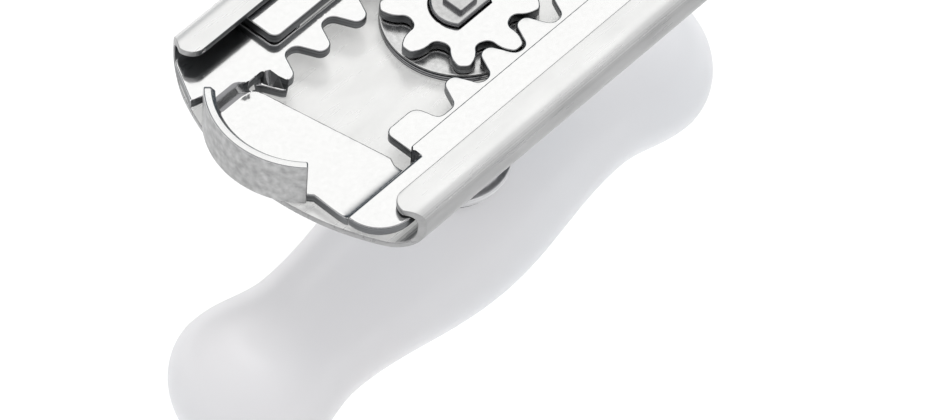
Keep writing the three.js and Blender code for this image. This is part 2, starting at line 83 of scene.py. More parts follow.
def make_camera():
    """Places the camera. Returns the direction from the object to it."""
    back = Vector((
        math.sin(AZIMUTH) * math.cos(ELEVATION),
        -math.cos(AZIMUTH) * math.cos(ELEVATION),
        math.sin(ELEVATION),
    ))
    right = Vector((math.cos(AZIMUTH), math.sin(AZIMUTH), 0))
    up = back.cross(right)
    rolled_right = math.cos(ROLL) * right + math.sin(ROLL) * up
    rolled_up = -math.sin(ROLL) * right + math.cos(ROLL) * up
    target = Vector((AIM_X, 0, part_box("pinion")[1].z))
    place = target + AIM_RIGHT * rolled_right + AIM_UP * rolled_up + DISTANCE * back
    camera = bpy.data.objects.new("camera", bpy.data.cameras.new("camera"))
    camera.data.sensor_width = 36
    camera.data.lens = 36 * FOCAL_PIXELS / FRAME_PIXELS
    camera.data.clip_start = 0.05
    camera.data.clip_end = 30
    turn = Matrix((rolled_right, rolled_up, back)).transposed().to_4x4()
    camera.matrix_world = Matrix.Translation(place) @ turn
    bpy.context.scene.collection.objects.link(camera)
    bpy.context.scene.camera = camera
    return back


# ---------------------------------------------------------------- sizes, in millimetres

def span(node):
    """(lowest corner, highest corner) of a CAD node, in millimetres."""
    low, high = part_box(node)
    return low / MM, high / MM


MODULE = 2.25
TEETH = 8
PRESSURE = math.radians(25)
ADDENDUM = 1.6
DEDENDUM = 1.95
BACKLASH = 0.45
SHEET = 1.0
PITCH_RADIUS = MODULE * TEETH / 2
PITCH = math.pi * MODULE
TIP_RADIUS = PITCH_RADIUS + ADDENDUM
ROOT_RADIUS = PITCH_RADIUS - DEDENDUM
RACK_TIP_Y = PITCH_RADIUS - ADDENDUM
RACK_ROOT_Y = PITCH_RADIUS + DEDENDUM

LEVEL_1 = span("thrust_disc")[0].z
LEVEL_2 = span("pinion")[0].z
PLATE = span("pinion")[1].z - LEVEL_2
LEVEL_3 = 2 * LEVEL_2 - LEVEL_1

ARM_OUTER_Y = span("near_jaw")[1].y
RACK_BACK_Y = 12.6
RACK_STEP_Y = 10.8
RACK_TEETH_X = [n * PITCH for n in (-3.5, -2.5, -1.5, -0.5, 0.5, 1.5)]
STEP_RUN = 1.7
ARM_STEP_Y = 13.0
ARM_INNER_Y = 12.5
TAB_INNER_Y = 13.6
RACK_END_X = span("near_jaw")[1].x
RACK_TAIL_X = -19.0
LIP_REACH, JAW_MARGIN, BASE_LENGTH, BLOCK_LENGTH, ARM_LENGTH = 4.5, 1.6, 11.0, 6.5, 58.3
JAW_END_X = span("near_jaw")[0].x + LIP_REACH
STEP_END_X = JAW_END_X + JAW_MARGIN
BASE_EDGE_X = JAW_END_X + BASE_LENGTH
BASE_SKEW = 3.1
BLOCK_X = RACK_END_X - BLOCK_LENGTH
ARM_TIP_X = JAW_END_X + ARM_LENGTH
LIP_RADIUS = 13.5
LIP_CENTRE = (span("near_jaw")[0].x + LIP_RADIUS, 2.7)
LIP_TURN, LIP_HALF_SPAN = 178, 45  # degrees
LIP_FROM = math.radians(LIP_TURN - LIP_HALF_SPAN)
LIP_TO = math.radians(LIP_TURN + LIP_HALF_SPAN)

# ---------------------------------------------------------------- mesh tools

EDGE = 0.22  # rounding of a stamped edge
EDGE_STEPS = 4


def new_piece(name, bm, body, replaced, material, smooth=35):
    """Scales a millimetre mesh into an object that rides on a body and stands for CAD nodes."""
    bmesh.ops.remove_doubles(bm, verts=bm.verts, dist=1e-5)
    bmesh.ops.recalc_face_normals(bm, faces=bm.faces)
    bmesh.ops.scale(bm, vec=(MM, MM, MM), verts=bm.verts)
    for face in bm.faces:
        face.smooth = True
    limit = math.radians(smooth)
    for edge in bm.edges:
        if len(edge.link_faces) == 2 and edge.calc_face_angle(0) > limit:
            edge.smooth = False
    mesh = bpy.data.meshes.new(name)
    bm.to_mesh(mesh)
    bm.free()
    for entry in material if isinstance(material, list) else [material]:
        mesh.materials.append(entry)
    piece = bpy.data.objects.new(name, mesh)
    bpy.context.scene.collection.objects.link(piece)
    weighted = piece.modifiers.new("weighted", "WEIGHTED_NORMAL")
    weighted.keep_sharp = True
    weighted.weight = 100
    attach(piece, body)
    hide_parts(*replaced)
    return piece


def arc(centre, radius, start, stop, steps):
    """Points along an arc, both ends included."""
    return [
        (
            centre[0] + radius * math.cos(start + (stop - start) * i / steps),
            centre[1] + radius * math.sin(start + (stop - start) * i / steps),
        )
        for i in range(steps + 1)
    ]


def rounded(corners, step=0.3):
    """Outline points from corners (x, y, radius), where a radius rounds its corner."""
    out = []
    for i, (x, y, radius) in enumerate(corners):
        corner = Vector((x, y))
        if radius == 0:
            out.append((x, y))
            continue
        before = (Vector(corners[i - 1][:2]) - corner).normalized()
        after = (Vector(corners[(i + 1) % len(corners)][:2]) - corner).normalized()
        half = math.acos(max(-1, min(1, before.dot(after)))) / 2
        centre = corner + (before + after).normalized() * (radius / math.sin(half))
        start = corner + before * (radius / math.tan(half)) - centre
        turn = math.pi - 2 * half
        if start.x * after.y - start.y * after.x < 0:
            turn = -turn
        begin = math.atan2(start.y, start.x)
        steps = max(3, round(abs(turn) * radius / step))
        out += arc(centre, radius, begin, begin + turn, steps)
    return out


def resample(points, longest):
    """The closed outline with no edge longer than a length."""
    out = []
    for i, a in enumerate(points):
        b = points[(i + 1) % len(points)]
        pieces = max(1, math.ceil(math.dist(a, b) / longest))
        out += [(a[0] + (b[0] - a[0]) * k / pieces, a[1] + (b[1] - a[1]) * k / pieces) for k in range(pieces)]
    return out


def clean(points, nearest=1e-3):
    """The closed outline without repeated points, counter-clockwise."""
    out = [points[0]]
    for p in points[1:]:
        if math.dist(p, out[-1]) > nearest:
            out.append(p)
    if math.dist(out[0], out[-1]) < nearest:
        out.pop()
    area = sum(a[0] * b[1] - b[0] * a[1] for a, b in zip(out, out[1:] + out[:1]))
    return out if area > 0 else out[::-1]


def inset(points, distance):
    """A counter-clockwise closed outline moved inwards."""
    out = []
    for i, p in enumerate(points):
        a, b = Vector(points[i - 1]), Vector(points[(i + 1) % len(points)])
        here = Vector(p)
        before = (here - a).normalized()
        after = (b - here).normalized()
        n1, n2 = Vector((-before.y, before.x)), Vector((-after.y, after.x))
        middle = n1 + n2
        scale = 2 / max(middle.length_squared, 0.6)
        out.append(tuple(here + middle * scale * distance))
    return out


def edge_rings(thickness, rounding):
    """(inset, height) pairs down a stamped edge, from its top face to its bottom face."""
    quarter = [(math.pi / 2) * k / EDGE_STEPS for k in range(EDGE_STEPS + 1)]
    upper = [(rounding * (1 - math.sin(t)), thickness - rounding * (1 - math.cos(t))) for t in quarter]
    return upper + [(d, thickness - h) for d, h in reversed(upper)]


def stamping(outline, holes, base_height, thickness, rounding=EDGE, grid=1.5, extra=()):
    """A flat or formed plate: a plan outline with holes, rounded edges, and a height for each point."""
    bm = bmesh.new()
    loops = [clean(outline)] + [clean(h)[::-1] for h in holes]
    rings = edge_rings(thickness, rounding)
    inner = [inset(loop, rounding) for loop in loops]
    points, edges = [], []
    for loop in inner:
        first = len(points)
        points += loop
        edges += [(first + i, first + (i + 1) % len(loop)) for i in range(len(loop))]

    def inside(x, y):
        hit = False
        for loop in inner:
            for a, b in zip(loop, loop[-1:] + loop[:-1]):
                if (a[1] > y) != (b[1] > y) and x < (b[0] - a[0]) * (y - a[1]) / (b[1] - a[1]) + a[0]:
                    hit = not hit
        return hit

    xs, ys = [p[0] for p in inner[0]], [p[1] for p in inner[0]]
    free = [Vector(p) for p in extra]
    for i in range(int((max(xs) - min(xs)) / grid) + 1):
        for j in range(int((max(ys) - min(ys)) / grid) + 1):
            free.append(Vector((min(xs) + (i + 0.5) * grid, min(ys) + (j + 0.37) * grid)))
    tree = KDTree(len(points))
    for i, (x, y) in enumerate(points):
        tree.insert((x, y, 0), i)
    tree.balance()
    kept = [p for p in free if tree.find((p.x, p.y, 0))[2] > 0.2 and inside(p.x, p.y)]
    coords, _, faces, _, _, _ = delaunay_2d_cdt([Vector(p) for p in points] + kept, edges, [], 1, 1e-6)
    solid_faces = []
    for face in faces:
        middle = sum((coords[i] for i in face), Vector((0, 0))) / len(face)
        if inside(middle.x, middle.y):
            solid_faces.append(face)
    for height, flip in ((thickness, False), (0.0, True)):
        made = [bm.verts.new((c.x, c.y, base_height(c.x, c.y) + height)) for c in coords]
        for face in solid_faces:
            order = [made[i] for i in face]
            bm.faces.new(order[::-1] if flip else order)
        for v in made:
            if not v.link_faces:
                bm.verts.remove(v)
    for loop in loops:
        rows = []
        for distance, height in rings:
            moved = inset(loop, distance)
            rows.append([
                bm.verts.new((m[0], m[1], base_height(*p) + height))
                for m, p in zip(moved, inset(loop, rounding) if distance == rounding else loop)
            ])
        for upper, lower in zip(rows, rows[1:]):
            for k in range(len(loop)):
                j = (k + 1) % len(loop)
                bm.faces.new((upper[k], lower[k], lower[j], upper[j]))
    return bm


def lathe(profile, segments=96, axis="Z", centre=(0, 0, 0)):
    """A closed (radius, height) profile turned about an axis; points on the axis close it."""
    bm = bmesh.new()
    rings = []
    for radius, height in profile:
        if radius < ON_AXIS:
            rings.append([bm.verts.new((0, 0, height))])
        else:
            rings.append([
                bm.verts.new((radius * math.cos(angle), radius * math.sin(angle), height))
                for angle in (2 * math.pi * k / segments for k in range(segments))
            ])
    closed = profile[0][0] > ON_AXIS
    pairs = list(zip(rings, rings[1:])) + ([(rings[-1], rings[0])] if closed else [])
    for a, b in pairs:
        for k in range(segments):
            j = (k + 1) % segments
            if len(a) == 1:
                bm.faces.new((a[0], b[k], b[j]))
            elif len(b) == 1:
                bm.faces.new((a[k], a[j], b[0]))
            else:
                bm.faces.new((a[k], a[j], b[j], b[k]))
    if axis == "X":
        bmesh.ops.rotate(bm, matrix=Matrix.Rotation(math.pi / 2, 3, "Y"), verts=bm.verts)
    bmesh.ops.translate(bm, vec=centre, verts=bm.verts)
    return bm


def bead(corners, rounding=0.25, steps=4):
    """A lathe profile of corners (radius, height) with small rounded corners."""
    return rounded([(r, h, rounding if r > ON_AXIS else 0) for r, h in corners], rounding / steps)


def join(target, other, slot=0):
    """Adds a second mesh to a first, as a separate closed shell with a material slot of its own."""
    for face in other.faces:
        face.material_index = slot
    mesh = bpy.data.meshes.new("joined")
    other.to_mesh(mesh)
    other.free()
    target.from_mesh(mesh)
    bpy.data.meshes.remove(mesh)
    return target


def half_turn(bm):
    """Turns a mesh by 180 degrees about Z."""
    bmesh.ops.rotate(bm, matrix=Matrix.Rotation(math.pi, 3, "Z"), verts=bm.verts)
    return bm


# ---------------------------------------------------------------- materials

def principled(name, color, metallic, rough):
    """A new material: (material, its nodes, its links, its shader)."""
    material = bpy.data.materials.new(name)
    material.use_nodes = True
    shader = material.node_tree.nodes["Principled BSDF"]
    shader.inputs["Base Color"].default_value = (*color, 1)
    shader.inputs["Metallic"].default_value = metallic
    shader.inputs["Roughness"].default_value = rough
    return material, material.node_tree.nodes, material.node_tree.links, shader


def noise(nodes, links, scale, stretch=(1, 1, 1), detail=3.0):
    """A noise texture in object coordinates, stretched along the axes."""
    coords = nodes.new("ShaderNodeTexCoord")
    mapping = nodes.new("ShaderNodeMapping")
    mapping.inputs["Scale"].default_value = stretch
    texture = nodes.new("ShaderNodeTexNoise")
    texture.inputs["Scale"].default_value = scale
    texture.inputs["Detail"].default_value = detail
    links.new(coords.outputs["Object"], mapping.inputs["Vector"])
    links.new(mapping.outputs["Vector"], texture.inputs["Vector"])
    return texture.outputs["Fac"]


def spread(nodes, links, value, low, high, from_low=0.3, from_high=0.7):
    """A value rescaled from its own range into low..high."""
    scaled = nodes.new("ShaderNodeMapRange")
    scaled.inputs["From Min"].default_value = from_low
    scaled.inputs["From Max"].default_value = from_high
    scaled.inputs["To Min"].default_value = low
    scaled.inputs["To Max"].default_value = high
    links.new(value, scaled.inputs["Value"])
    return scaled.outputs["Result"]


def bump(nodes, links, shader, value, strength, distance):
    """Bumps a shader's surface by a height value."""
    node = nodes.new("ShaderNodeBump")
    node.inputs["Strength"].default_value = strength
    node.inputs["Distance"].default_value = distance
    links.new(value, node.inputs["Height"])
    links.new(node.outputs["Normal"], shader.inputs["Normal"])


def grey_mix(nodes, links, factor, low, high):
    """A colour between two greys."""
    mix = nodes.new("ShaderNodeMix")
    mix.data_type = "RGBA"
    mix.inputs["A"].default_value = (*low, 1)
    mix.inputs["B"].default_value = (*high, 1)
    links.new(factor, mix.inputs["Factor"])
    return mix.outputs["Result"]


def blend_value(nodes, links, factor, a, b):
    """A number mixed from a to b by a factor; a and b are numbers or sockets."""
    mix = nodes.new("ShaderNodeMix")
    mix.data_type = "FLOAT"
    links.new(factor, mix.inputs["Factor"])
    for key, value in (("A", a), ("B", b)):
        if isinstance(value, float):
            mix.inputs[key].default_value = value
        else:
            links.new(value, mix.inputs[key])
    return mix.outputs["Result"]


def blend_color(nodes, links, factor, a, b):
    """A colour mixed from socket a to socket b by a factor."""
    mix = nodes.new("ShaderNodeMix")
    mix.data_type = "RGBA"
    links.new(factor, mix.inputs["Factor"])
    links.new(a, mix.inputs["A"])
    links.new(b, mix.inputs["B"])
    return mix.outputs["Result"]


def normal_axes(nodes, links):
    """The surface normal's X, Y and Z."""
    geometry = nodes.new("ShaderNodeNewGeometry")
    split = nodes.new("ShaderNodeSeparateXYZ")
    links.new(geometry.outputs["True Normal"], split.inputs["Vector"])
    return split.outputs["X"], split.outputs["Y"], split.outputs["Z"]


def maths(nodes, links, operation, a, b=None):
    """The result of a Math node; a and b are numbers or sockets."""
    node = nodes.new("ShaderNodeMath")
    node.operation = operation
    for socket, value in zip(node.inputs, (a, b)):
        if isinstance(value, (int, float)):
            socket.default_value = value
        elif value is not None:
            links.new(value, socket)
    return node.outputs["Value"]


def scaled(color, share):
    """A colour made lighter or darker by a share."""
    return [min(1.0, c * share) for c in color]


def sheet_steel(name, face, edge, rough, edge_rough, streaks):
    """Polished plate: fine grain on its faces, and duller edges with fine shear lines, whose darker colour is
    painted shade on the upright faces and the lip's wall.
    """
    material, nodes, links, shader = principled(name, face, 1.0, rough)
    _, _, up = normal_axes(nodes, links)
    level = maths(nodes, links, "ABSOLUTE", up)
    upright = spread(nodes, links, level, 1.0, 0.0, 0.2, 0.6)
    grain = noise(nodes, links, 1400.0, (1, 1, 1), 4.0)
    lines = noise(nodes, links, 900.0, (0.12, 0.12, 4.0) if streaks else (1, 1, 1), 2.0)
    face_color = grey_mix(nodes, links, spread(nodes, links, grain, 0, 1), scaled(face, 0.96), face)
    # Painted shade: upright faces (plate edges, the lip's wall) take the darker edge colour; the shear lines
    # and duller roughness are the edge's own.
    shaded_edge_dark = scaled(edge, 0.55 if streaks else 0.85)
    shaded_edge_color = grey_mix(nodes, links, spread(nodes, links, lines, 0, 1), shaded_edge_dark, scaled(edge, 1.3))
    links.new(blend_color(nodes, links, upright, face_color, shaded_edge_color), shader.inputs["Base Color"])
    patchy = spread(nodes, links, noise(nodes, links, 120.0), rough * 0.8, rough * 1.2)
    links.new(blend_value(nodes, links, upright, patchy, edge_rough), shader.inputs["Roughness"])
    bump(nodes, links, shader, grain, 0.10, 0.00002)
    return material


# The second colour is painted shade on the plates' upright faces and on the lip's wall.
jaw_steel = sheet_steel("jaw_steel", (0.95, 0.95, 0.95), (0.16, 0.165, 0.17), 0.13, 0.38, True)
lip_steel = sheet_steel("lip_steel", (0.93, 0.93, 0.93), (0.40, 0.40, 0.40), 0.20, 0.45, False)


def channel_sheet(name, face, wall, inside, cut_edge, rough):
    """Satin sheet: grain along the channel and mottled faces; faces that do not look up take the darker wall
    colour, faces turned towards the channel's middle or downwards take the dark inside colour, both painted
    shade; grey cut edges.
    """
    material, nodes, links, shader = principled(name, face, 0.35, rough)
    across, side, up = normal_axes(nodes, links)
    coords = nodes.new("ShaderNodeTexCoord")
    place = nodes.new("ShaderNodeSeparateXYZ")
    links.new(coords.outputs["Object"], place.inputs["Vector"])
    outward = maths(nodes, links, "MULTIPLY", side, maths(nodes, links, "SIGN", place.outputs["Y"]))
    grain = noise(nodes, links, 900.0, (0.12, 1, 1), 3.0)
    mottle = noise(nodes, links, 260.0, (0.5, 1, 1), 4.0)
    top_spread = spread(nodes, links, mottle, 0, 1, 0.35, 0.65)
    top = grey_mix(nodes, links, top_spread, scaled(face, 0.93), face)
    # Painted shade: faces that do not look up take the darker wall colour, mottled.
    flank_spread = spread(nodes, links, mottle, 0, 1, 0.35, 0.65)
    painted_flank_shade = grey_mix(nodes, links, flank_spread, scaled(wall, 0.9), scaled(wall, 1.08))
    # Painted shade: faces turned towards the channel's middle, or downwards, take the dark inside colour.
    painted_inside_shade = grey_mix(nodes, links, grain, scaled(inside, 0.8), inside)
    ends = grey_mix(nodes, links, grain, scaled(cut_edge, 0.7), scaled(cut_edge, 1.2))
    color = blend_color(nodes, links, spread(nodes, links, up, 1.0, 0.0, 0.35, 0.8), top, painted_flank_shade)
    inward_shade_mask = spread(nodes, links, outward, 1.0, 0.0, -0.6, -0.2)
    downward_shade_mask = spread(nodes, links, up, 1.0, 0.0, -0.6, -0.2)
    color = blend_color(nodes, links, maths(nodes, links, "MAXIMUM", inward_shade_mask, downward_shade_mask), color, painted_inside_shade)
    on_end = spread(nodes, links, maths(nodes, links, "ABSOLUTE", across), 0.0, 1.0, 0.3, 0.6)
    links.new(blend_color(nodes, links, on_end, color, ends), shader.inputs["Base Color"])
    links.new(spread(nodes, links, grain, rough * 0.85, rough * 1.15), shader.inputs["Roughness"])
    bump(nodes, links, shader, grain, 0.12, 0.00003)
    return material


# The wall colour and the dark inside colour are painted shade.
channel_steel = channel_sheet(
    "channel_steel", (0.88, 0.88, 0.87), (0.40, 0.40, 0.40), (0.10, 0.105, 0.11), (0.42, 0.42, 0.42), 0.30,
)


def turned_steel(name, color, rim, rough, rings):
    """Turned steel: fine rings round the shaft's axis, and a ringed rim on its upright faces, whose darker
    colour on the disc and the shaft head is painted shade.
    """
    material, nodes, links, shader = principled(name, color, 1.0, rough)
    _, _, up = normal_axes(nodes, links)
    upright = spread(nodes, links, maths(nodes, links, "ABSOLUTE", up), 1.0, 0.0, 0.3, 0.7)
    coords = nodes.new("ShaderNodeTexCoord")
    wave = nodes.new("ShaderNodeTexWave")
    wave.wave_type = "RINGS"
    wave.rings_direction = "Z"
    wave.inputs["Scale"].default_value = rings
    wave.inputs["Distortion"].default_value = 1.5
    wave.inputs["Detail"].default_value = 4.0
    wave.inputs["Detail Scale"].default_value = 3.0
    links.new(coords.outputs["Object"], wave.inputs["Vector"])
    fine = noise(nodes, links, 1500.0)
    flat = grey_mix(nodes, links, spread(nodes, links, fine, 0, 1), scaled(color, 0.82), color)
    lines = noise(nodes, links, 1200.0, (0.1, 0.1, 2.0))
    # Painted shade: upright faces take the rim colour, darker than the top on the disc and the shaft head.
    side = grey_mix(nodes, links, lines, scaled(rim, 0.5), scaled(rim, 1.5))
    links.new(blend_color(nodes, links, upright, flat, side), shader.inputs["Base Color"])
    ringed = spread(nodes, links, wave.outputs["Fac"], rough * 0.85, rough * 1.15, 0, 1)
    links.new(ringed, shader.inputs["Roughness"])
    bump(nodes, links, shader, wave.outputs["Fac"], 0.12, 0.00002)
    return material


# The rim colours of the shaft and the disc are painted shade; the disc's is near black.
shaft_steel = turned_steel("shaft_steel", (0.72, 0.72, 0.72), (0.30, 0.30, 0.31), 0.26, 260.0)
disc_steel = turned_steel("disc_steel", (0.80, 0.80, 0.80), (0.02, 0.022, 0.025), 0.24, 260.0)
neck_steel = turned_steel("neck_steel", (0.70, 0.70, 0.71), (0.66, 0.66, 0.67), 0.42, 200.0)


def moulded(name, color, rough, coat, grain):
    """Moulded plastic with a faint skin texture and slow changes of tone."""
    material, nodes, links, shader = principled(name, color, 0.0, rough)
    shader.inputs["Coat Weight"].default_value = coat
    shader.inputs["Coat Roughness"].default_value = 0.15
    slow = noise(nodes, links, 25.0, (1, 1, 1), 1.0)
    warm = [color[0] * 1.01, color[1] * 0.985, color[2] * 0.985]
    cool = [color[0] * 0.985, color[1] * 0.995, color[2] * 1.015]
    tint = grey_mix(nodes, links, spread(nodes, links, slow, 0, 1), warm, cool)
    links.new(tint, shader.inputs["Base Color"])
    skin = noise(nodes, links, grain, (1, 1, 1), 2.0)
    links.new(spread(nodes, links, skin, rough * 0.9, rough * 1.1), shader.inputs["Roughness"])
    bump(nodes, links, shader, skin, 0.02, 0.00002)
    return material


knob_plastic = moulded("knob_plastic", (0.875, 0.885, 0.895), 0.34, 0.15, 350.0)
bush_plastic = moulded("bush_plastic", (0.03, 0.03, 0.032), 0.45, 0.0, 900.0)

to_camera = make_camera()

# ---------------------------------------------------------------- channel

FLANGE_WIDTH = 5.1
FLOOR_BEND = 4.5
FLANGE_BEND = 2.2
FLANGE_CORNER = 2.4


def channel():
    """The flanged channel: its section swept along X and trimmed by its round ends."""
    low, high = span("channel_housing")
    wall, radius = high.y, high.x
    edge = wall - FLANGE_WIDTH
    corner_y = edge + FLANGE_CORNER
    reach = math.sqrt(radius**2 - corner_y**2)

    def end_x(y, on_flange):
        if on_flange and abs(y) < corner_y:
            into = corner_y - max(abs(y), edge)
            return reach - FLANGE_CORNER + math.sqrt(max(FLANGE_CORNER**2 - into**2, 0))
        return math.sqrt(radius**2 - y**2)

    pairs = []  # (outer y, outer z, inner y, inner z, on the flange)
    steps = 10
    for i in range(25):
        y = (wall - FLOOR_BEND) * i / 25
        pairs.append((y, low.z, y, low.z + SHEET, False))
    for i in range(steps + 1):
        t = -math.pi / 2 + math.pi / 2 * i / steps
        cy, cz = wall - FLOOR_BEND, low.z + FLOOR_BEND
        inner = FLOOR_BEND - SHEET
        c, s = math.cos(t), math.sin(t)
        pairs.append((cy + FLOOR_BEND * c, cz + FLOOR_BEND * s, cy + inner * c, cz + inner * s, False))
    for i in range(steps + 1):
        t = math.pi / 2 * i / steps
        cy, cz = wall - FLANGE_BEND, high.z - FLANGE_BEND
        inner = FLANGE_BEND - SHEET
        c, s = math.cos(t), math.sin(t)
        pairs.append((cy + FLANGE_BEND * c, cz + FLANGE_BEND * s, cy + inner * c, cz + inner * s, t > 0.9))
    start = wall - FLANGE_BEND
    for i in range(1, 17):
        y = start + (edge + EDGE - start) * i / 16
        pairs.append((y, high.z, y, high.z - SHEET, True))
    for k in range(1, EDGE_STEPS + 1):
        t = math.pi / 2 * k / EDGE_STEPS
        y = edge + EDGE * (1 - math.sin(t))
        drop = EDGE * (1 - math.cos(t))
        pairs.append((y, high.z - drop, y, high.z - SHEET + drop, True))
    mirrored = [(-a, b, -c, d, f) for a, b, c, d, f in pairs[1:]][::-1]
    pairs = mirrored + pairs
    loop = [(p[0], p[1], p[4]) for p in pairs] + [(p[2], p[3], p[4]) for p in pairs[::-1]]
    outline = [(a, b) for a, b, _ in loop]
    bm = bmesh.new()
    columns = []
    quarter = [math.pi / 2 * k / EDGE_STEPS for k in range(EDGE_STEPS + 1)]
    ends = [(EDGE * (1 - math.sin(t)), EDGE * (1 - math.cos(t))) for t in quarter]
    stations = [(None, 0.0, s) for s in [-1 + 2 * i / 24 for i in range(1, 24)]]
    left = [(-1, drop, back) for back, drop in reversed(ends)]
    right = [(1, drop, back) for back, drop in ends]
    for side, drop, place in left + stations + right:
        moved = inset(outline, drop) if drop > 0 else outline
        column = []
        for (y, z), (y0, _, flag) in zip(moved, loop):
            limit = end_x(y0, flag)
            x = limit * place * 0.995 if side is None else side * (limit - place)
            column.append(bm.verts.new((x, y, z)))
        columns.append(column)
    count = len(loop)
    for a, b in zip(columns, columns[1:]):
        for k in range(count):
            j = (k + 1) % count
            bm.faces.new((a[k], a[j], b[j], b[k]))
    half = count // 2
    for column in (columns[0], columns[-1]):
        for k in range(half - 1):
            bm.faces.new((column[k], column[k + 1], column[count - 2 - k], column[count - 1 - k]))
    return bm


new_piece("channel", channel(), "head", ["channel_housing"], channel_steel)

# ---------------------------------------------------------------- jaws

NOTCH_X = RACK_TEETH_X[0] - PITCH / 2 - 1.0  # inner end of the step up to the rack
SLIT = 0.15  # between the base plate's side and the tooth roots
CREST_FALL = 1.4  # the step's crest curves down over this length at its inner end
FOOT_RISE = 0.22  # the base plate lifts by this much before its step up to the plain arm
FOOT_START = 10.6
STEP_EASE = 0.4  # that step starts this much early


def smooth(t):
    """An eased step from 0 to 1."""
    t = max(0.0, min(1.0, t))
    return t * t * (3 - 2 * t)


def jaw_height(x, y):
    """Underside of the near jaw's formed sheet at a point in plan."""
    if y > 0:
        past_base = x > BASE_EDGE_X - STEP_RUN + (RACK_ROOT_Y - y) * 0.4
        if x > NOTCH_X and (y > RACK_STEP_Y + SLIT / 2 or past_base):
            return LEVEL_2
        if y < RACK_STEP_Y or (x < STEP_END_X - 0.05 and y < TAB_INNER_Y - 0.3):
            return LEVEL_1
        run = SLIT + (STEP_RUN - SLIT) * math.sqrt(smooth((NOTCH_X - x) / CREST_FALL))
        return LEVEL_1 + (LEVEL_2 - LEVEL_1) * smooth((y - RACK_STEP_Y) / run)
    if x > BASE_EDGE_X + 1.1:
        return LEVEL_3
    if y > -FOOT_START:
        return LEVEL_1
    foot = FOOT_RISE * min(1.0, (-y - FOOT_START) / (ARM_STEP_Y - STEP_EASE - FOOT_START)) ** 2
    rise = smooth((-y - (ARM_STEP_Y - STEP_EASE)) / (STEP_RUN + STEP_EASE))
    return LEVEL_1 + foot + (LEVEL_3 - LEVEL_1 - foot) * rise


ROOT_ROUND, TIP_ROUND = 1.35, 1.25
END_ROUND = 1.2  # of an arm's free end
TAB_OVERHANG, TAB_SLANT = 1.0, 3.8
NOSE_OVERHANG, NOSE_ROUND = 2.0, 5.4
LIP_SKIN = 0.45  # the sheet's rim stays this far inside the lip's outer face


def rack_tooth(centre):
    """Corners of one tooth, which points to the pinion."""
    at_pitch = (PITCH / 2 - BACKLASH / 2) / 2
    tip = at_pitch - ADDENDUM * math.tan(PRESSURE)
    root = at_pitch + DEDENDUM * math.tan(PRESSURE)
    return [
        (centre - root, RACK_ROOT_Y, ROOT_ROUND),
        (centre - tip, RACK_TIP_Y, TIP_ROUND),
        (centre + tip, RACK_TIP_Y, TIP_ROUND),
        (centre + root, RACK_ROOT_Y, ROOT_ROUND),
    ]


def jaw_outline():
    """The near jaw in plan, without its upright lip."""
    tab_end = JAW_END_X - TAB_OVERHANG
    nose = JAW_END_X - NOSE_OVERHANG
    corners = [
        (JAW_END_X, -LIP_RADIUS / 2 - 0.2, 0),
        (JAW_END_X - 0.1, -ARM_STEP_Y, 0),
        (nose, -ARM_STEP_Y - STEP_RUN, 0.15),
        (nose, -ARM_OUTER_Y, NOSE_ROUND),
        (ARM_TIP_X, -ARM_OUTER_Y, END_ROUND),
        (ARM_TIP_X, -ARM_INNER_Y, END_ROUND),
        (BASE_EDGE_X + 1.5, -ARM_INNER_Y, 0.4),
        (BASE_EDGE_X + 0.9, -ARM_STEP_Y, 0.2),
        (BASE_EDGE_X, -ARM_STEP_Y + 0.4, 0.3),
        (BASE_EDGE_X, -ARM_STEP_Y + 1.8, 0.5),
        (BASE_EDGE_X + 0.6, -ARM_STEP_Y + 3.0, 0.5),
        (BASE_EDGE_X - BASE_SKEW, RACK_STEP_Y - SLIT / 2, 0.5),
        (NOTCH_X, RACK_STEP_Y + SLIT / 2, 0),
        (NOTCH_X + 0.8, RACK_ROOT_Y, 0),
    ]
    for centre in RACK_TEETH_X:
        corners += rack_tooth(centre)
    corners += [
        (BLOCK_X - 0.3, RACK_ROOT_Y, 1.2),
        (BLOCK_X + 0.6, RACK_TIP_Y, 1.7),
        (RACK_END_X, RACK_TIP_Y, END_ROUND),
        (RACK_END_X, RACK_BACK_Y, 0.3),
        (RACK_TAIL_X, RACK_BACK_Y, END_ROUND),
        (RACK_TAIL_X, ARM_OUTER_Y, 0.4),
        (tab_end + TAB_SLANT, ARM_OUTER_Y, END_ROUND),
        (tab_end, TAB_INNER_Y, 0.3),
        (STEP_END_X, TAB_INNER_Y, 0.3),
        (STEP_END_X, RACK_STEP_Y + 0.2, 0.2),
    ]
    lip = arc(LIP_CENTRE, LIP_RADIUS - LIP_SKIN, LIP_FROM, LIP_TO, 40)
    return resample(clean(rounded(corners) + lip), 0.6)


